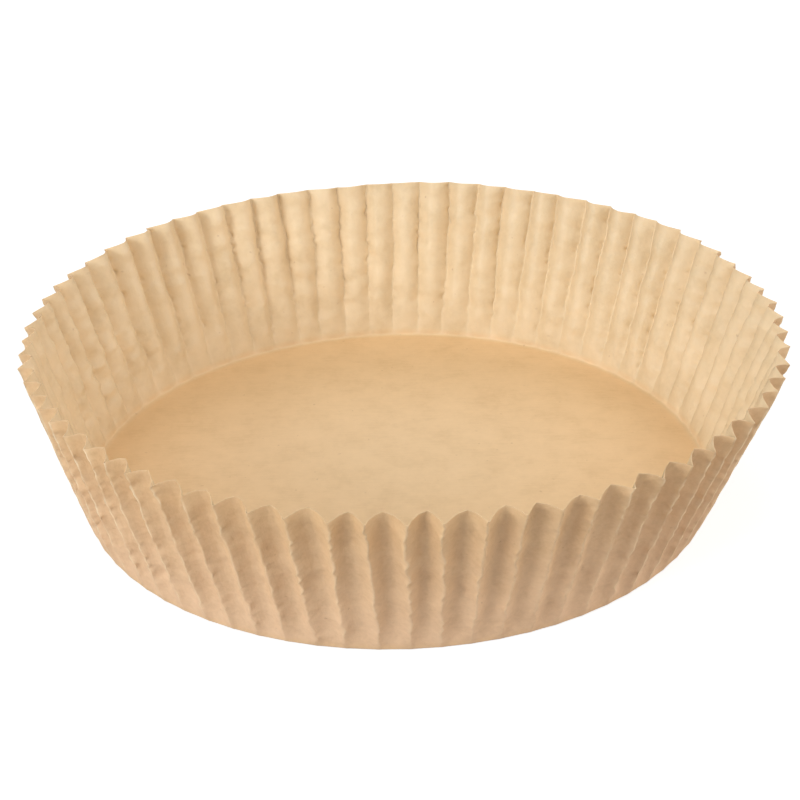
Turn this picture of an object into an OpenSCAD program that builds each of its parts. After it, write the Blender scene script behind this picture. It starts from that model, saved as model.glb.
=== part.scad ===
// Round pleated paper liner: a shallow open cup pressed from one flat disc of greaseproof paper.
// The floor stays flat. The wall stands up from it in even zigzag pleats, which take in the length that
// the flat disc has to spare, so they start at nothing in the bend and are deepest at the rim.

/* [Cup] */
// Diameter at the rim, over the outer tips of the pleats
rim_d = 200; // [150:1:260]
// Diameter of the base, at the corner between floor and wall
base_d = 168; // [120:1:200]
// Height of the rim, at the outer tips of the pleats
rim_h = 44; // [25:1:80]

/* [Sheet] */
// Thickness of the paper
paper_t = 0.06; // [0.04:0.01:0.3]
// Radius of the bend between floor and wall, at the middle of the paper
bend_r = 1.2; // [0.5:0.1:4]

/* [Pleats] */
// Number of pleats round the wall
pleats = 72; // [36:1:90]
// Width of the rounded crest of each fold
crest_w = 0.8; // [0.2:0.1:1.5]
// Turn of the whole pattern about the upright axis
pleat_turn = 0.1; // [-2:0.1:2]

/* [Hidden] */

// Heights up the wall that get a ring of points, as shares of the slant above the bend
wall_shares = [0.12, 0.45, 1];

base_r = base_d / 2;
half_t = paper_t / 2;
half_pitch = 180 / pleats;
// From the corner of the base to the outer tip of a pleat at the rim
tip_run = rim_d / 2 - half_t - base_r;
tip_rise = rim_h - half_t;

// Slant of the wall from the corner to the rim, for pleats that are d deep there
function slant(d) = sqrt(pow(tip_run, 2) + pow(tip_rise, 2) - pow(d / 2, 2));
// Lean of the wall from upright, for the same pleats
function lean(d) = atan2(tip_run, tip_rise) - atan2(d / 2, slant(d));
// Length from the corner to either end of the bend
function bend_reach(d) = bend_r * tan((90 - lean(d)) / 2);
// Length of paper round the bend
function bend_length(d) = bend_r * (90 - lean(d)) * PI / 180;
// Distance from the middle of the flat disc of the paper that lies s up the slant
function flat_radius(s, d) = base_r - 2 * bend_reach(d) + bend_length(d) + s;
// Depth of a pleat where paper cut at flat_r stands at radius r, with its crests kept
function pleat_depth(flat_r, r) =
    let (flat_half = PI * flat_r / pleats, half = PI * r / pleats)
    sqrt(max(0, (flat_half - half) * (flat_half + half - 2 * crest_w)));
// Depth of the pleats at the rim, closing in on the depth that its own lean and slant give
function rim_depth(d = 0, rounds = 8) =
    rounds <= 0 ? d
    : rim_depth(pleat_depth(flat_radius(slant(d), d), base_r + slant(d) * sin(lean(d))), rounds - 1);

rim_pleat = rim_depth();
wall_slant = slant(rim_pleat);
wall_lean = lean(rim_pleat);
reach = bend_reach(rim_pleat);
bend_turn = 90 - wall_lean;

// A ring is [radius, height, angle of the paper above level, flat radius], at the middle of the paper
function bend_ring(turn) = [
    base_r - reach + bend_r * sin(turn),
    half_t + bend_r * (1 - cos(turn)),
    turn,
    base_r - reach + bend_r * turn * PI / 180
];
function wall_ring(s) = [
    base_r + s * sin(wall_lean),
    half_t + s * cos(wall_lean),
    bend_turn,
    flat_radius(s, rim_pleat)
];
rings = concat(
    [for (share = [0, 0.5, 1]) bend_ring(share * bend_turn)],
    [for (share = wall_shares) wall_ring(reach + share * (wall_slant - reach))]
);

// One corner of a crest: level is 1 on an outer crest and -1 on an inner one, corner is its left or
// right end, and side is 1 on the outside of the paper and -1 on the inside
function crest_point(ring, index, level, corner, side) =
    let (
        depth = pleat_depth(ring[3], ring[0]),
        panel_angle = atan2(depth, PI * ring[0] / pleats - crest_w),
        out = level * depth / 2 + side * half_t,
        r = ring[0] + out * sin(ring[2]),
        z = ring[1] - out * cos(ring[2]),
        along = crest_w / 2 + level * side * half_t * tan(panel_angle / 2),
        middle = pleat_turn + (2 * index + (level > 0 ? 0 : 1)) * half_pitch,
        angle = middle + corner * along / r * 180 / PI
    )
    [r * sin(angle), -r * cos(angle), z];

// All the points of one ring on one side of the paper, in order round the cup
function ring_points(ring, side) = [
    for (index = [0:pleats - 1])
        for (level = [1, -1])
            for (corner = [-1, 1])
                crest_point(ring, index, level, corner, side)
];

// The band of triangles between two rows of n points, the rows starting at a and b. Each crest and the
// panel after it are split one way and the inner ones the other way, so that both halves of a pleat
// match, and both sides of the paper are split alike, so that they stay a sheet's thickness apart
function band(a, b, n) = [
    for (i = [0:n - 1])
        let (j = (i + 1) % n)
        each (i % 4 < 2 ? [[a + i, a + j, b + j], [a + i, b + j, b + i]]
            : [[a + i, a + j, b + i], [a + j, b + j, b + i]])
];
function row(a, n) = [for (i = [0:n - 1]) a + i];
function turned(face) = [for (i = [len(face) - 1:-1:0]) face[i]];

module paper_liner() {
    n = 4 * pleats;
    last = len(rings) - 1;
    // Rows of points: the outside from the floor to the rim, then the inside in the same order
    rows = concat([for (ring = rings) ring_points(ring, 1)], [for (ring = rings) ring_points(ring, -1)]);
    inner = n * len(rings);
    outside = [for (k = [0:last - 1]) each band(k * n, (k + 1) * n, n)];
    inside = [for (k = [0:last - 1]) each band(inner + k * n, inner + (k + 1) * n, n)];
    faces = concat(
        [row(0, n)],
        [for (face = outside) turned(face)],
        [for (face = band(last * n, inner + last * n, n)) turned(face)],
        inside,
        [turned(row(inner, n))]
    );
    color("burlywood")
        polyhedron(points = [for (points = rows) each points], faces = faces, convexity = 10);
}

paper_liner();
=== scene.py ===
"""The looks of a round pleated paper liner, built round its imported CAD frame. Everything is in metres."""

import math

import bpy
import numpy as np
from mathutils import Matrix, Vector


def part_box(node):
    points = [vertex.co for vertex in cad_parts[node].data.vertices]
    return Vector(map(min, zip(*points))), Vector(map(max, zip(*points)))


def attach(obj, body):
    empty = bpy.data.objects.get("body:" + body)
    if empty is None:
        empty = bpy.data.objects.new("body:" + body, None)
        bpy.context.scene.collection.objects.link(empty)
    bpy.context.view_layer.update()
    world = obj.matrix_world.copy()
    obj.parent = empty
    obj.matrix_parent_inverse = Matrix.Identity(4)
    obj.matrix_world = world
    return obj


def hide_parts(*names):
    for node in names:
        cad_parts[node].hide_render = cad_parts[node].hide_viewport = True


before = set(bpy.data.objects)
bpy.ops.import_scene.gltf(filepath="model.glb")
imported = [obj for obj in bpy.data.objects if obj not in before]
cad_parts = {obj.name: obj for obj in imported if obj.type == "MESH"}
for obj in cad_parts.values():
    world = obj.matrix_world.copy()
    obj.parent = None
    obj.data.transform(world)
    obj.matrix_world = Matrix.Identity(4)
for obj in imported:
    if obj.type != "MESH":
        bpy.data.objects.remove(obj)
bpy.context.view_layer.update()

# The cup. Its outer size is the frame's and the rest is the solid's, but for a crisper bend at the floor.
low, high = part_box("paper_liner")
RIM_R = (high.x - low.x) / 2  # outer tips of the pleats
INNER_TIP_H = high.z  # the inner tips stand highest, since the sheet's edge is cut square to the wall
OUTER_TIP_H = 0.9765 * INNER_TIP_H  # as in the solid
BASE_R = 0.84 * RIM_R  # corner between the floor and the wall
BEND_R = 0.0006
PAPER_T = 0.00006
PLEATS = 72
PITCH = 2 * math.pi / PLEATS
CREST_W = 0.0008  # width of a fold's crest
FIRST_FOLD = math.radians(0.1)  # turn of the first outer crest from the front

# How the rim stands over the base
RIM_SHIFT = Vector((0.00211, 0.00014))
RIM_OVAL = 0.013  # share by which the rim is longer one way than it is round
OVAL_TURN = math.radians(33.9)

# How the folds lean along the wall. They are turned round the cup by these shares of a pleat, at the rim
# and at the bend: a constant, then the sine and cosine of once, twice and three times the azimuth.
TIP_TURN = (0.09, -0.28, -0.17, 0.05, -0.03, 0.10, 0.04)
FOOT_TURN = (0.10, -0.27, 0.13, 0.05, 0.05, 0.04, -0.06)

# How each fold wanders to its left and right
TIP_WANDER = 0.00022  # of its tip, along the rim
FOOT_WANDER = 0.00022  # of its foot, along the bend
FOLD_WANDER = 0.00016  # on its way up
SLOW_WANDER_LENGTH, QUICK_WANDER_LENGTH = 0.011, 0.0032
BEADING = 0.00030  # short wobble of a crest where the press has nipped it
BEAD_LENGTH = 0.0007
WANDER_EASE, BEAD_EASE = 0.006, 0.004  # they grow from nothing over this much of the wall

# How deep the pleats are. Pressed ones stand deeper than the solid's straight ones, most so at their feet.
RIM_GAIN, FOOT_GAIN = 1.10, 1.50
FOOT_EASE = 0.0020  # over this much of the wall the pleats come up out of the bend
FOOT_FLATTENING = 0.4
DEPTH_SPREAD = 0.10  # share by which one fold stands deeper than another
DEPTH_LENGTH = 0.04
LUMPS = 0.09  # share by which an inner crest swells and sinks every few millimetres
OUTER_LUMP_SHARE = 0.4  # how much of that an outer crest has
LUMP_LENGTH = 0.0024

# How sharp the crests are. 0 makes a round crest and 1 a knife edge.
OUTER_FOOT_SHARPNESS, OUTER_RIM_SHARPNESS = 0.70, 0.95
INNER_FOOT_SHARPNESS, INNER_RIM_SHARPNESS = 0.72, 0.92
SHARPNESS_SPREAD = 0.10
SHARPNESS_LENGTH = 0.015
LEAST_SHARPNESS, MOST_SHARPNESS = 0.4, 0.985

# Dents of the panels between the folds, and the length of each kind of dent
CRINKLE = 0.00012
BROAD_DENT, SMALL_DENT, CREASE, FINE_CREASE = 0.005, 0.0018, 0.0014, 0.0010
DENT_EASE = 0.010  # they grow to full depth over this much of the wall
# Stretches that a hand has crumpled: azimuth and half width in degrees, height and half height as shares
# of the wall's, and how much more they are dented
CRUMPLED = [
    (-62, 11, 0.60, 0.20, 1.6),
    (-112, 18, 0.45, 0.32, 1.8),
    (50, 16, 0.55, 0.35, 0.8),
    (-35, 14, 0.50, 0.30, 0.6),
]
EDGE_WANDER = 0.00018  # the cut edge, up and down the wall
FLOOR_LIFT = 0.00035  # the floor's soft hollows
HOLLOW_LENGTH = 0.028
HOLLOW_EASE = 0.12  # share of the floor's radius over which they fade out to its edge

# How pale the crests are painted: partly rubbed paper, partly painted sheen where light grazes them, most at
# the sides and the back
FRONT_WEAR_AND_SHEEN, MORE_WEAR_AND_SHEEN = 0.20, 0.55  # in front, and what the sides and the back have on top of that
FRONT_HALF, WEAR_AND_SHEEN_SPAN = math.radians(22), math.radians(26)  # it grows past the front, over that span
INNER_CREST_PALENESS = 0.08
# The cut edge is painted pale, as a painted highlight where light catches it
EDGE_PAINTED_HIGHLIGHT = 0.25
WEAR_AND_SHEEN_EASE = 0.006
PALE_BEAD_LENGTH = 0.0012

# The grid of points. A column's share runs from a pleat's outer crest at 0 to the next one at 1.
COLUMN_SHARES = np.array([0, 0.07, 0.20, 0.36, 0.5, 0.64, 0.80, 0.93])
PINCH = 0.5  # 0 makes outer and inner crests alike, 1 draws the outer ones in to knife edges
WALL_ROWS = 78
BEND_ROWS = 3
FLOOR_RINGS = 14
FIRST_RINGS = (0.0009, 0.0027, 0.007)  # how far in from the bend the floor's first three rings lie
LAST_RING_R = 0.006

LATTICE_ROWS, LATTICE_COLUMNS = 64, 512
rng = np.random.default_rng(2024)
LATTICE = rng.standard_normal((LATTICE_ROWS, LATTICE_COLUMNS))


def spline_taps(t):
    """Weights of the four lattice points round a place that lies t past the second of them."""
    return (1 - t) ** 3 / 6, (3 * t**3 - 6 * t**2 + 4) / 6, (-3 * t**3 + 3 * t**2 + 3 * t + 1) / 6, t**3 / 6


def hills(x, y=0.0, start=0, wrap=LATTICE_COLUMNS):
    """Soft random hills and hollows a unit apart, of about unit height. They repeat after wrap units of x.

    start is the row of the lattice that y is counted from. Uses that start at another row, or that move x
    along by some units, come out different.
    """
    y = start + y
    left, under = np.floor(x).astype(int), np.floor(y).astype(int)
    found = 0
    for i, across in enumerate(spline_taps(x - left)):
        for j, up in enumerate(spline_taps(y - under)):
            found = found + across * up * LATTICE[(under + j) % LATTICE_ROWS, (left + i) % wrap]
    return 2 * found


def signed(angle):
    """The same azimuth, between half a turn to the left and half a turn to the right."""
    return (angle + math.pi) % (2 * math.pi) - math.pi


# The sheet's even shape, as in the solid: pleats take in the length that the flat disc has to spare
half_t = PAPER_T / 2
tip_run = RIM_R - half_t - BASE_R
tip_rise = OUTER_TIP_H - half_t


def slant(depth):
    """Slant of the wall from the corner to the rim, for pleats that are that deep there."""
    return math.sqrt(tip_run**2 + tip_rise**2 - (depth / 2) ** 2)


def lean(depth):
    """Lean of the wall from upright, for the same pleats."""
    return math.atan2(tip_run, tip_rise) - math.atan2(depth / 2, slant(depth))


def bend_reach(depth):
    """Length from the corner to either end of the bend."""
    return BEND_R * math.tan((math.pi / 2 - lean(depth)) / 2)


def flat_radius(up, depth):
    """Distance from the middle of the flat disc of the paper that lies that far up the slant."""
    return BASE_R - 2 * bend_reach(depth) + BEND_R * (math.pi / 2 - lean(depth)) + up


def pleat_depth(flat_r, r):
    """Depth of a pleat where paper cut at flat_r stands at radius r."""
    flat_half, half = math.pi * flat_r / PLEATS, math.pi * r / PLEATS
    return np.sqrt(np.maximum(0, (flat_half - half) * (flat_half + half - 2 * CREST_W)))


def find_rim_depth():
    """Depth of the pleats at the rim, closing in on the depth that its own lean and slant give."""
    depth = 0.0
    for _ in range(8):
        top = slant(depth)
        depth = float(pleat_depth(flat_radius(top, depth), BASE_R + top * math.sin(lean(depth))))
    return depth


rim_depth = find_rim_depth()
wall_lean, wall_slant, reach = lean(rim_depth), slant(rim_depth), bend_reach(rim_depth)
bend_turn = math.pi / 2 - wall_lean

# Rows of points, from the start of the bend to the rim, at the middle of the paper
turns = bend_turn * np.linspace(0, 1, BEND_ROWS + 1)
ups = np.linspace(reach, wall_slant, WALL_ROWS + 1)[1:]
row_r = np.concatenate([BASE_R - reach + BEND_R * np.sin(turns), BASE_R + ups * math.sin(wall_lean)])[:, None]
row_z = np.concatenate([half_t + BEND_R * (1 - np.cos(turns)), half_t + ups * math.cos(wall_lean)])[:, None]
row_turn = np.concatenate([turns, np.full(WALL_ROWS, bend_turn)])[:, None]
row_flat = np.concatenate([BASE_R - reach + BEND_R * turns, flat_radius(ups, rim_depth)])[:, None]
rows = len(row_r)
rise = row_z / OUTER_TIP_H  # 0 at the floor and 1 at the rim
climb = row_flat - row_flat[0]  # metres of paper above the floor
even_depth = pleat_depth(row_flat, row_r)
row_gain = FOOT_GAIN + (RIM_GAIN - FOOT_GAIN) * rise
row_depth = row_gain * even_depth * (1 - FOOT_FLATTENING * np.exp(-climb / FOOT_EASE))
set_in = (row_depth - even_depth) / 2  # keeps the outer crests where the solid has them

# Every fold has its own way up the wall. Even numbers are outer crests and odd ones inner crests.
fold = np.arange(2 * PLEATS)[None, :]
outer_fold = fold % 2 == 0
own = 0.5 + 2 * fold  # two units apart in the lattice, so that no fold follows its neighbour
fold_side = (
    TIP_WANDER * rise * hills(own)
    + FOOT_WANDER * (1 - rise) * hills(own, start=8)
    + FOLD_WANDER * np.minimum(1, climb / WANDER_EASE)
    * (hills(own, climb / SLOW_WANDER_LENGTH, 16) + 0.9 * hills(own, climb / QUICK_WANDER_LENGTH, 32))
)
bead = BEADING * hills(own, climb / BEAD_LENGTH, 24) * np.minimum(1, climb / BEAD_EASE)
lumps = LUMPS * np.where(outer_fold, OUTER_LUMP_SHARE, 1.0)
fold_out = row_depth / 2 * (
    1 + DEPTH_SPREAD * hills(own, climb / DEPTH_LENGTH, 40) + lumps * hills(own, climb / LUMP_LENGTH, 50)
)
outer_sharpness = OUTER_FOOT_SHARPNESS + (OUTER_RIM_SHARPNESS - OUTER_FOOT_SHARPNESS) * np.sqrt(rise)
inner_sharpness = INNER_FOOT_SHARPNESS + (INNER_RIM_SHARPNESS - INNER_FOOT_SHARPNESS) * rise**2
sharpness = np.clip(
    np.where(outer_fold, outer_sharpness, inner_sharpness)
    + SHARPNESS_SPREAD * hills(own, climb / SHARPNESS_LENGTH, 10),
    LEAST_SHARPNESS, MOST_SHARPNESS,
)

# Columns of points, and the two folds that each lies between
pleat = np.repeat(np.arange(PLEATS), len(COLUMN_SHARES))[None, :]
share = np.tile(COLUMN_SHARES, PLEATS)[None, :]
place = share - PINCH / (2 * math.pi) * np.sin(2 * math.pi * share)
columns = pleat.size
left_fold = 2 * pleat + (place >= 0.5)
right_fold = (left_fold + 1) % (2 * PLEATS)
in_pleats = pleat + place  # how far round the cup a column stands
in_folds = 2 * in_pleats
angle = FIRST_FOLD + in_pleats * PITCH


def from_folds(values, right_weight):
    """A value for each column, from its two folds, where the one to its right has that weight."""
    left, right = np.take(values, left_fold[0], axis=1), np.take(values, right_fold[0], axis=1)
    return left * (1 - right_weight) + right * right_weight


# Each column swings out and in with the folds, and from side to side
swing = np.cos(2 * math.pi * share)
nearest_right = np.where(place < 0.5, swing < 0, swing > 0).astype(float)
keen = from_folds(sharpness, nearest_right)
level = np.arcsin(keen * swing) / np.arcsin(keen)  # 1 on an outer crest, -1 on an inner one
out_share = (1 + level) / 2
right_share = np.where(place < 0.5, 1 - out_share, out_share)
push = from_folds(np.where(outer_fold, 1, -1) * fold_out, right_share) - set_in
nearness = np.abs(level) ** 3  # to a crest
side = from_folds(fold_side, 2 * place % 1) + from_folds(bead, nearest_right) * nearness

# The panels between the folds are dented, most so where the sheet has been crumpled
dent_depth = np.minimum(1, climb / DENT_EASE) * (1 - 0.5 * nearness)
push = push + CRINKLE * dent_depth * (
    0.6 * hills(in_folds, climb / BROAD_DENT, wrap=2 * PLEATS)
    + 0.9 * hills(2 * in_folds + 7, climb / SMALL_DENT, 20, 4 * PLEATS)
)
for azimuth, half_width, height, half_height, more in CRUMPLED:
    off = signed(angle - math.radians(azimuth)) / math.radians(half_width)
    here = np.exp(-(off**2) - ((rise - height) / half_height) ** 2)
    push = push + more * CRINKLE * dent_depth * here * (
        hills(2 * in_folds + 31, climb / CREASE, 3, 4 * PLEATS)
        + 0.7 * hills(3 * in_folds + 5, climb / FINE_CREASE, 44, 6 * PLEATS)
    )

# The cut edge wanders, and the rows below it share the difference out
edge = EDGE_WANDER * (
    hills(in_pleats / 2, start=30, wrap=PLEATS // 2) + 0.5 * hills(in_folds, start=34, wrap=2 * PLEATS)
)
stretch = edge * rise**4


def fold_turn(terms):
    """How far the folds at each column's azimuth are turned round the cup."""
    turn = terms[0] + 0 * angle
    for k in (1, 2, 3):
        turn = turn + terms[2 * k - 1] * np.sin(k * angle) + terms[2 * k] * np.cos(k * angle)
    return PITCH * turn


def placed(azimuth, r, z):
    """Points of the cup, with the rim's slight oval and shift."""
    up = z / OUTER_TIP_H
    r = r * (1 + RIM_OVAL * up * np.cos(2 * (azimuth - OVAL_TURN)))
    x = r * np.sin(azimuth) + RIM_SHIFT.x * up
    y = -r * np.cos(azimuth) + RIM_SHIFT.y * up
    return np.stack([x, y, z], axis=-1)


# The wall: its two sides, and where each of its points lies on the flat disc
foot_turn = fold_turn(FOOT_TURN)
middle = placed(
    angle + side / row_r + foot_turn + (fold_turn(TIP_TURN) - foot_turn) * rise,
    row_r + push * np.sin(row_turn) + stretch * math.sin(wall_lean),
    row_z - push * np.cos(row_turn) + stretch * math.cos(wall_lean),
)
along = np.roll(middle, -1, axis=1) - np.roll(middle, 1, axis=1)
normal = np.cross(along, np.gradient(middle, axis=0))
normal /= np.linalg.norm(normal, axis=2, keepdims=True)
wall_outside, wall_inside = middle + half_t * normal, middle - half_t * normal
flat_angle = angle + foot_turn
flat_x, flat_y = row_flat * np.sin(flat_angle), -row_flat * np.cos(flat_angle)
wall_sheet = np.stack([flat_x, flat_y, 0 * flat_x], axis=-1)

# The floor: rings that halve their points twice on the way in, and a point in the middle
floor_r = row_r[0, 0]
first, second, third = FIRST_RINGS
ring_r = [floor_r - first, floor_r - second, *np.linspace(floor_r - third, LAST_RING_R, FLOOR_RINGS)]
ring_n = [columns // 2] + [columns // 4] * (FLOOR_RINGS + 1)


def floor_ring(r, n):
    """A flat ring of n points, in line with the columns of the wall."""
    a = flat_angle[0, ::columns // n]
    return np.stack([r * np.sin(a), -r * np.cos(a), 0 * a], axis=-1)


floor_points = np.concatenate([floor_ring(r, n) for r, n in zip(ring_r, ring_n)] + [np.zeros((1, 3))])
from_edge = np.clip(1 - np.hypot(floor_points[:, 0], floor_points[:, 1]) / floor_r, 0, 1)
soft = np.minimum(1, from_edge / HOLLOW_EASE) ** 2
hollows = hills(floor_points[:, 0] / HOLLOW_LENGTH + 9, floor_points[:, 1] / HOLLOW_LENGTH, 9)
floor_points[:, 2] = half_t + FLOOR_LIFT * soft * np.clip(0.9 + 0.5 * hollows, 0, 2)


def strip(a, b, n, m, split=None):
    """Triangles between a row of n points from a and one of m, which is n or half of it, from b.

    With n points each way, split says which way each pair of triangles is cut.
    """
    i = np.arange(m)
    j = (i + 1) % m
    if m == n:
        one = np.stack([np.stack([a + i, a + j, b + j], 1), np.stack([a + i, b + j, b + i], 1)], 1)
        other = np.stack([np.stack([a + i, a + j, b + i], 1), np.stack([a + j, b + j, b + i], 1)], 1)
        return np.where(split[:, None, None], one, other).reshape(-1, 3)
    p, q, s = a + 2 * i, a + 2 * i + 1, a + (2 * i + 2) % n
    three = [p, q, b + i], [q, b + j, b + i], [q, s, b + j]
    return np.concatenate([np.stack(corners, 1) for corners in three])


def skin_triangles():
    """Triangles of one side of the sheet, wound outward: the wall's, the floor's rings and its middle."""
    found = [strip(k * columns, (k + 1) * columns, columns, columns, wall_split) for k in range(rows - 1)]
    outer_at, n = 0, columns
    inner_at = rows * columns
    for m in ring_n:
        found.append(strip(outer_at, inner_at, n, m, np.ones(m, bool))[:, ::-1])
        outer_at, n, inner_at = inner_at, m, inner_at + m
    i = np.arange(n)
    found.append(np.stack([outer_at + (i + 1) % n, outer_at + i, np.full(n, inner_at)], 1))
    return np.concatenate(found)


# The outside of the sheet comes first, then the inside in the same order
wall_split = place[0] < 0.5
skin = skin_triangles()
skin_points = wall_outside.size // 3 + len(floor_points)
rim = (rows - 1) * columns
cut_edge = strip(rim, skin_points + rim, columns, columns, wall_split)
triangles = np.concatenate([skin, skin[:, ::-1] + skin_points, cut_edge])
down = np.array([0, 0, half_t])
points = np.concatenate(
    [wall_outside.reshape(-1, 3), floor_points - down, wall_inside.reshape(-1, 3), floor_points + down]
)
sheet = np.concatenate([wall_sheet.reshape(-1, 3), floor_points * (1, 1, 0)] * 2)

# How pale each point is painted: along the crests that stand out on its side, as rubbed paper and painted
# sheen, and on the cut edge, as a painted highlight
cut = np.zeros((rows, 1))
cut[-1] = EDGE_PAINTED_HIGHLIGHT
beads = np.clip(1 + 0.8 * hills(0.5 + 2 * in_folds, climb / PALE_BEAD_LENGTH, wrap=4 * PLEATS), 0, 2)
pale_crest_strength = np.minimum(1, climb / WEAR_AND_SHEEN_EASE) * beads
# The painted sheen grows past the front towards the sides and the back, where light grazes the crests
crest_wear_and_sheen = FRONT_WEAR_AND_SHEEN + MORE_WEAR_AND_SHEEN * np.clip((np.abs(signed(angle)) - FRONT_HALF) / WEAR_AND_SHEEN_SPAN, 0, 1)
flat_floor = np.zeros(len(floor_points))
wear_and_sheen = np.concatenate([
    np.maximum(np.clip(level, 0, 1) ** 10 * pale_crest_strength * crest_wear_and_sheen, cut).ravel(), flat_floor,
    np.maximum(np.clip(-level, 0, 1) ** 12 * pale_crest_strength * INNER_CREST_PALENESS, cut).ravel(), flat_floor,
])


def make_liner():
    """The sheet as one mesh, with each point's place on the flat disc, its wear and painted sheen, and its
    side of the paper.
    """
    mesh = bpy.data.meshes.new("pleated_sheet")
    mesh.from_pydata(points.tolist(), [], triangles.tolist())
    inside = np.arange(len(points)) >= skin_points
    on_disc = mesh.attributes.new("sheet", "FLOAT_VECTOR", "POINT")
    on_disc.data.foreach_set("vector", sheet.astype(np.float32).ravel())
    for name, values in (("wear_and_sheen", wear_and_sheen), ("inside", inside)):
        mesh.attributes.new(name, "FLOAT", "POINT").data.foreach_set("value", values.astype(np.float32))
    on_rim = np.zeros(len(points), bool)
    on_rim[rim:rim + columns] = on_rim[skin_points + rim:skin_points + rim + columns] = True
    ends = np.zeros(2 * len(mesh.edges), np.int32)
    mesh.edges.foreach_get("vertices", ends)
    mesh.shade_smooth()
    sharp = on_rim[ends.reshape(-1, 2)].all(1)
    mesh.attributes.new("sharp_edge", "BOOLEAN", "EDGE").data.foreach_set("value", sharp)
    made = bpy.data.objects.new("pleated_sheet", mesh)
    bpy.context.scene.collection.objects.link(made)
    return made


# Materials
def make_material(name):
    material = bpy.data.materials.new(name)
    material.use_nodes = True
    material.node_tree.nodes.clear()
    return material, material.node_tree


def add(tree, kind, inputs=None, **settings):
    """A node with those settings. An input's value is a number, a colour or another node's output."""
    made = tree.nodes.new("ShaderNode" + kind)
    for key, value in settings.items():
        setattr(made, key, value)
    for key, value in (inputs or {}).items():
        if isinstance(value, bpy.types.NodeSocket):
            tree.links.new(value, made.inputs[key])
        else:
            made.inputs[key].default_value = value
    return made


def noise(tree, place, scale, detail, roughness=0.5):
    inputs = {"Vector": place, "Scale": scale, "Detail": detail, "Roughness": roughness}
    return add(tree, "TexNoise", inputs).outputs[0]


def span(tree, value, old_low, old_high, new_low, new_high):
    """The value, moved from its old range to the new one and kept inside it."""
    return add(tree, "MapRange", {0: value, 1: old_low, 2: old_high, 3: new_low, 4: new_high}).outputs[0]


def times(tree, a, b):
    return add(tree, "Math", {0: a, 1: b}, operation="MULTIPLY").outputs[0]


def mix(tree, amount, a, b):
    return add(tree, "Mix", {0: amount, 2: a, 3: b}, data_type="FLOAT").outputs[0]


def mix_colours(tree, amount, a, b, way="MIX"):
    return add(tree, "Mix", {0: amount, 6: a, 7: b}, data_type="RGBA", blend_type=way).outputs[2]


def bump(tree, height, strength, distance, under=None):
    inputs = {"Height": height, "Strength": strength, "Distance": distance}
    if under:
        inputs["Normal"] = under
    return add(tree, "Bump", inputs).outputs[0]


def linear(r, g, b):
    """A display colour, 0 to 1, as the shader's own."""
    return tuple(c / 12.92 if c <= 0.04045 else ((c + 0.055) / 1.055) ** 2.4 for c in (r, g, b)) + (1.0,)


def ramp(tree, value, stops):
    made = add(tree, "ValToRGB", {"Fac": value})
    elements = made.color_ramp.elements
    elements[0].position, elements[0].color = stops[0]
    elements[1].position, elements[1].color = stops[-1]
    for position, colour in stops[1:-1]:
        elements.new(position).color = colour
    return made.outputs["Color"]


# Painted light in the paper's colour: the floor is painted warmer and darker towards its edge, as painted
# shade and warm bounce light from the wall, and the inner side of the wall palest, as painted direct light
# and sheen
FLOOR_MIDDLE = linear(0.972, 0.844, 0.658)
FLOOR_EDGE_PAINTED_SHADE = linear(0.966, 0.819, 0.617)
# The outside of the wall is painted lighter and paler at its foot, as painted bounce light from the floor,
# and darker and warmer at the rim, as painted shade with a warm glow through the paper
OUTER_FOOT_PAINTED_BOUNCE = linear(0.972, 0.830, 0.682)
OUTER_RIM_PAINTED_SHADE_AND_GLOW = linear(0.928, 0.781, 0.597)
INNER_WALL_PAINTED_LIGHT = linear(0.948, 0.857, 0.708)
# What darkens the paper, the bran-brown flecks in it, and the pale colour of its crests, which is rubbed
# paper and painted sheen
CLOUD_SHADES = [
    (0.34, linear(0.945, 0.932, 0.905)),
    (0.50, linear(0.98, 0.976, 0.967)),
    (0.66, linear(1.0, 1.0, 1.0)),
]
SPECK_SHADE = linear(0.90, 0.87, 0.84)
FLECK = linear(0.66, 0.48, 0.33)
RUBBED_AND_SHEEN = linear(1.0, 0.90, 0.75)
# Distances from the middle of the flat disc, in metres
FLOOR_END, WALL_START, WALL_END = 0.082, 0.086, 0.128
FLOOR_SHADE_START, FLOOR_SHADE_END = 0.015, 0.080
# The paper's fibres lie one way across the disc, and are this much longer than wide
GRAIN_TURN = 0.5
FIBRE_STRETCH = 9
RUBBED_AND_SHEEN_SHARE = 0.8  # how far a fully pale point takes the pale colour of rubbed paper and painted sheen
GLOW_SHARE = 0.12  # how much of the light that meets the paper shines through it


def hue_with_painted_light(tree, reach, on_wall, inside):
    """The paper's colour before its clouds and specks, with painted light and shade in it: at the floor's
    edge, on the wall's inner side and up the outer wall.
    """
    up_wall = span(tree, reach, WALL_START, WALL_END, 0.0, 1.0)
    wall = mix_colours(tree, inside, mix_colours(tree, up_wall, OUTER_FOOT_PAINTED_BOUNCE, OUTER_RIM_PAINTED_SHADE_AND_GLOW), INNER_WALL_PAINTED_LIGHT)
    outward = span(tree, reach, FLOOR_SHADE_START, FLOOR_SHADE_END, 0.0, 1.0)
    return mix_colours(tree, on_wall, mix_colours(tree, outward, FLOOR_MIDDLE, FLOOR_EDGE_PAINTED_SHADE), wall)


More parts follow.
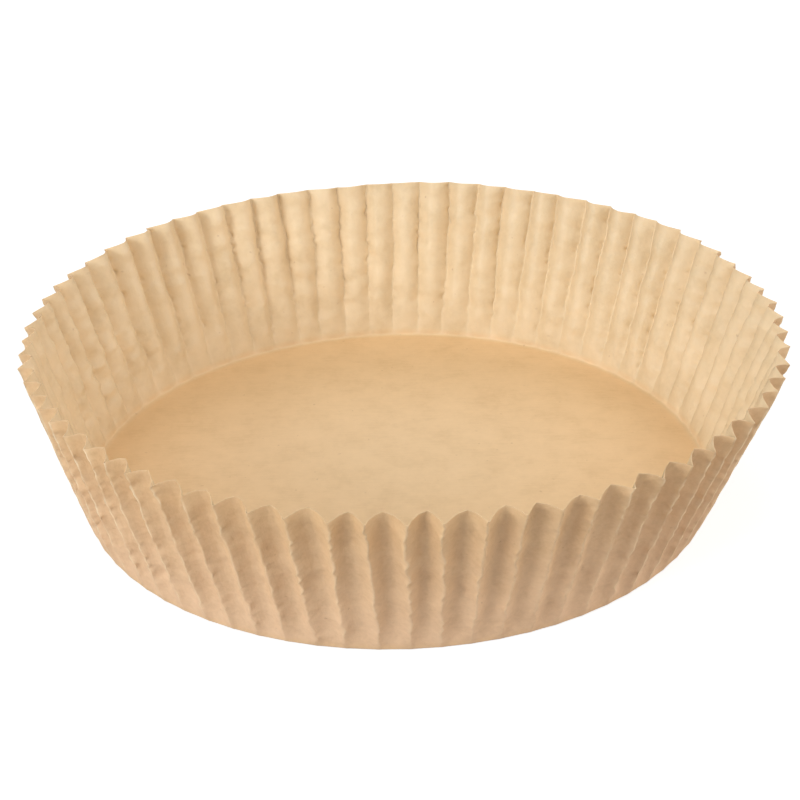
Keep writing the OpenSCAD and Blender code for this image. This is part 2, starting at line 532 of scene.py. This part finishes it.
def paper_colour(tree, place, reach, on_wall, fibres):
    """Clouds, fibres and mottling, then specks on the outside, sparse flecks, and the pale crests and cut
    edge, which are rubbed paper with painted sheen and a painted highlight.
    """
    inside = add(tree, "Attribute", attribute_name="inside").outputs["Fac"]
    outside = add(tree, "Math", {0: on_wall, 1: inside}, operation="SUBTRACT", use_clamp=True).outputs[0]
    clouds = noise(tree, place, scale=90, detail=4, roughness=0.7)
    tone = mix(tree, span(tree, on_wall, 0.0, 1.0, 0.25, 0.05), clouds, fibres)
    mottle = noise(tree, place, scale=600, detail=3, roughness=0.7)
    tone = mix(tree, span(tree, outside, 0.0, 1.0, 0.12, 0.48), tone, mottle)
    shade = ramp(tree, tone, CLOUD_SHADES)
    colour = mix_colours(tree, 1.0, hue_with_painted_light(tree, reach, on_wall, inside), shade, "MULTIPLY")
    specks = span(tree, noise(tree, place, scale=1000, detail=2, roughness=0.6), 0.62, 0.38, 0.0, 0.15)
    darker = mix_colours(tree, 1.0, colour, SPECK_SHADE, "MULTIPLY")
    colour = mix_colours(tree, times(tree, specks, outside), colour, darker)
    sparse = [(0.74, (0, 0, 0, 1)), (0.82, (0.3, 0.3, 0.3, 1))]
    flecks = ramp(tree, noise(tree, place, scale=520, detail=1), sparse)
    colour = mix_colours(tree, flecks, colour, FLECK)
    # The pale crests and cut edge: rubbed paper with painted sheen, and a painted highlight on the edge
    wear_and_sheen = add(tree, "Attribute", attribute_name="wear_and_sheen").outputs["Fac"]
    return mix_colours(tree, times(tree, wear_and_sheen, RUBBED_AND_SHEEN_SHARE), colour, RUBBED_AND_SHEEN)


def paper_relief(tree, place, reach, on_wall, fibres):
    """A fine grain all over, and on the wall the fine upright ridges and soft lumps that the press leaves."""
    way = add(tree, "VectorMath", {0: place}, operation="NORMALIZE").outputs[0]
    around = add(tree, "VectorMath", {0: way, 3: 0.1}, operation="SCALE").outputs[0]
    upright = add(tree, "CombineXYZ", {"Z": times(tree, reach, 0.12)}).outputs[0]
    ridge_place = add(tree, "VectorMath", {0: around, 1: upright}, operation="ADD").outputs[0]
    ridges = times(tree, noise(tree, ridge_place, scale=900, detail=3, roughness=0.6), on_wall)
    soft_lumps = times(tree, noise(tree, place, scale=380, detail=2), on_wall)
    fibre_height = span(tree, on_wall, 0.0, 1.0, 1.0, 0.15)
    grain = noise(tree, place, scale=900, detail=4, roughness=0.6)
    grain = add(tree, "Math", {0: fibres, 1: fibre_height, 2: grain}, operation="MULTIPLY_ADD").outputs[0]
    fine = bump(tree, grain, strength=0.35, distance=0.00012)
    ridged = bump(tree, ridges, strength=0.4, distance=0.00022, under=fine)
    return bump(tree, soft_lumps, strength=0.5, distance=0.0004, under=ridged)


def greaseproof_paper():
    """Unbleached greaseproof paper: cloudy and finely fibred, with a dull shine. It glows a little."""
    material, tree = make_material("greaseproof_paper")
    place = add(tree, "Attribute", attribute_name="sheet").outputs["Vector"]
    reach = add(tree, "VectorMath", {0: place}, operation="LENGTH").outputs["Value"]
    on_wall = span(tree, reach, FLOOR_END, WALL_START, 0.0, 1.0)
    grain = {"Vector": place, "Rotation": (0, 0, GRAIN_TURN), "Scale": (1, FIBRE_STRETCH, 1)}
    fibres = noise(tree, add(tree, "Mapping", grain).outputs[0], scale=150, detail=4, roughness=0.6)
    colour = paper_colour(tree, place, reach, on_wall, fibres)
    relief = paper_relief(tree, place, reach, on_wall, fibres)
    front = add(tree, "BsdfPrincipled", {
        "Base Color": colour, "Roughness": 0.55, "Specular IOR Level": 0.5, "Normal": relief,
    })
    through = add(tree, "BsdfTranslucent", {"Color": colour, "Normal": relief})
    both = add(tree, "MixShader", {0: GLOW_SHARE, 1: front.outputs[0], 2: through.outputs[0]})
    add(tree, "OutputMaterial", {"Surface": both.outputs[0]})
    return material


# Far from the lamps the studio floor is lit less, so there it is lifted to white
NEAR_FLOOR, FAR_FLOOR = 0.25, 1.0
NEAR_LIFT, FAR_LIFT = 0.76, 1.0


def studio_floor():
    """Plain pale floor, white to the camera except for the object's own soft shadow."""
    material, tree = make_material("studio_floor")
    camera_ray = add(tree, "LightPath").outputs["Is Camera Ray"]
    plain = add(tree, "BsdfDiffuse", {"Color": (0.6, 0.6, 0.6, 1)})
    faint = add(tree, "BsdfDiffuse", {"Color": (0.4, 0.4, 0.4, 1)})
    place = add(tree, "NewGeometry").outputs["Position"]
    far = add(tree, "VectorMath", {0: place}, operation="LENGTH").outputs["Value"]
    lift = span(tree, far, NEAR_FLOOR, FAR_FLOOR, NEAR_LIFT, FAR_LIFT)
    bright = add(tree, "Emission", {"Color": (1, 1, 1, 1), "Strength": lift})
    lifted = add(tree, "AddShader", {0: faint.outputs[0], 1: bright.outputs[0]})
    shown = add(tree, "MixShader", {0: camera_ray, 1: plain.outputs[0], 2: lifted.outputs[0]})
    add(tree, "OutputMaterial", {"Surface": shown.outputs[0]})
    return material


liner = make_liner()
liner.data.materials.append(greaseproof_paper())
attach(liner, "root")
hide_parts("paper_liner")

# Studio
FLOOR_SPAN = 8.0
FLOOR_GAP = 0.0002  # the floor lies this far under the liner
SKY = 0.10
LAMP_DISTANCE = 1.2
# name, azimuth, elevation, size, level, tint. The light from the left is a little cooler.
LAMPS = [
    ("left_low", -45, 20, 0.4, 0.37, (0.95, 0.99, 1.02)),
    ("left", -60, 30, 0.4, 0.16, (0.94, 0.96, 0.97)),
    ("left_high", -60, 50, 0.4, 0.08, (0.99, 1.01, 1.03)),
    ("far_left", -75, 25, 0.4, 0.07, (0.92, 0.92, 0.90)),
    ("front_left", -30, 45, 0.4, 0.12, (1.02, 1.06, 1.11)),
    ("front_right", 30, 45, 0.4, 0.08, (1.08, 1.07, 1.07)),
    ("right_high", 60, 45, 0.4, 0.15, (1.07, 1.05, 1.03)),
    ("right_low", 60, 20, 0.4, 0.13, (1.06, 1.03, 1.00)),
    ("right", 90, 15, 0.4, 0.25, (1.00, 0.95, 0.91)),
    ("back", 180, 40, 0.4, 0.19, (0.97, 0.92, 0.89)),
    ("top", 0, 75, 0.8, 0.20, (1.04, 1.04, 1.04)),
]


def make_floor():
    half = FLOOR_SPAN / 2
    corners = [(-half, -half, 0), (half, -half, 0), (half, half, 0), (-half, half, 0)]
    mesh = bpy.data.meshes.new("studio_floor")
    mesh.from_pydata(corners, [], [(0, 1, 2, 3)])
    mesh.materials.append(studio_floor())
    made = bpy.data.objects.new("studio_floor", mesh)
    made.location.z = -FLOOR_GAP
    bpy.context.scene.collection.objects.link(made)
    return made


def make_world():
    """A faint even light from all round, which the camera sees as white."""
    world = bpy.data.worlds.new("studio")
    bpy.context.scene.world = world
    world.use_nodes = True
    tree = world.node_tree
    tree.nodes.clear()
    ray = add(tree, "LightPath").outputs["Is Camera Ray"]
    sky = add(tree, "Background", {"Color": (1, 1, 1, 1), "Strength": SKY})
    seen = add(tree, "Background", {"Color": (1, 1, 1, 1), "Strength": 1.0})
    shown = add(tree, "MixShader", {0: ray, 1: sky.outputs[0], 2: seen.outputs[0]})
    add(tree, "OutputWorld", {"Surface": shown.outputs[0]})


def softbox(name, azimuth, elevation, size, level, tint):
    """A square lamp that lights what faces it to that share of plain white.

    Azimuth 0 is in front of the liner and 90 to its right.
    """
    lamp = bpy.data.lights.new(name, "AREA")
    lamp.shape, lamp.size = "SQUARE", size
    lamp.energy = level * (math.pi * LAMP_DISTANCE) ** 2
    lamp.color = tint
    a, e = math.radians(azimuth), math.radians(elevation)
    way = Vector((math.sin(a) * math.cos(e), -math.cos(a) * math.cos(e), math.sin(e)))
    holder = bpy.data.objects.new(name, lamp)
    holder.location = way * LAMP_DISTANCE
    holder.rotation_mode = "QUATERNION"
    holder.rotation_quaternion = way.to_track_quat("Z", "Y")
    bpy.context.scene.collection.objects.link(holder)


make_floor()
make_world()
for row in LAMPS:
    softbox(*row)

# The camera, placed as a pinhole fitted to the photograph's rim, pleat tips and base
IMAGE_PX = 800
FOCAL_PX = 1883
SENSOR = 36.0
CAMERA_DISTANCE = 0.5137
PITCH_DOWN, TURN_RIGHT, TILT_UP, ROLL = (math.radians(v) for v in (30.03, -0.13, 2.10, -1.44))


def turned(a, b, turn):
    """Two axes at right angles after a turn that takes the first towards the second."""
    return a * math.cos(turn) + b * math.sin(turn), b * math.cos(turn) - a * math.sin(turn)


def make_camera():
    back = Vector((0, -math.cos(PITCH_DOWN), math.sin(PITCH_DOWN)))
    ahead, right = -back, Vector((1, 0, 0))
    up = right.cross(ahead)
    ahead, right = turned(ahead, right, TURN_RIGHT)
    ahead, up = turned(ahead, up, TILT_UP)
    right, up = turned(right, up, ROLL)
    lens = bpy.data.cameras.new("photo_camera")
    lens.sensor_width = SENSOR
    lens.lens = FOCAL_PX / IMAGE_PX * SENSOR
    made = bpy.data.objects.new("photo_camera", lens)
    facing = Matrix((right, up, -ahead)).transposed().to_4x4()
    made.matrix_world = Matrix.Translation(back * CAMERA_DISTANCE + RIM_SHIFT.to_3d()) @ facing
    bpy.context.scene.collection.objects.link(made)
    return made


bpy.context.scene.camera = make_camera()
bpy.context.scene.view_settings.view_transform = "Standard"
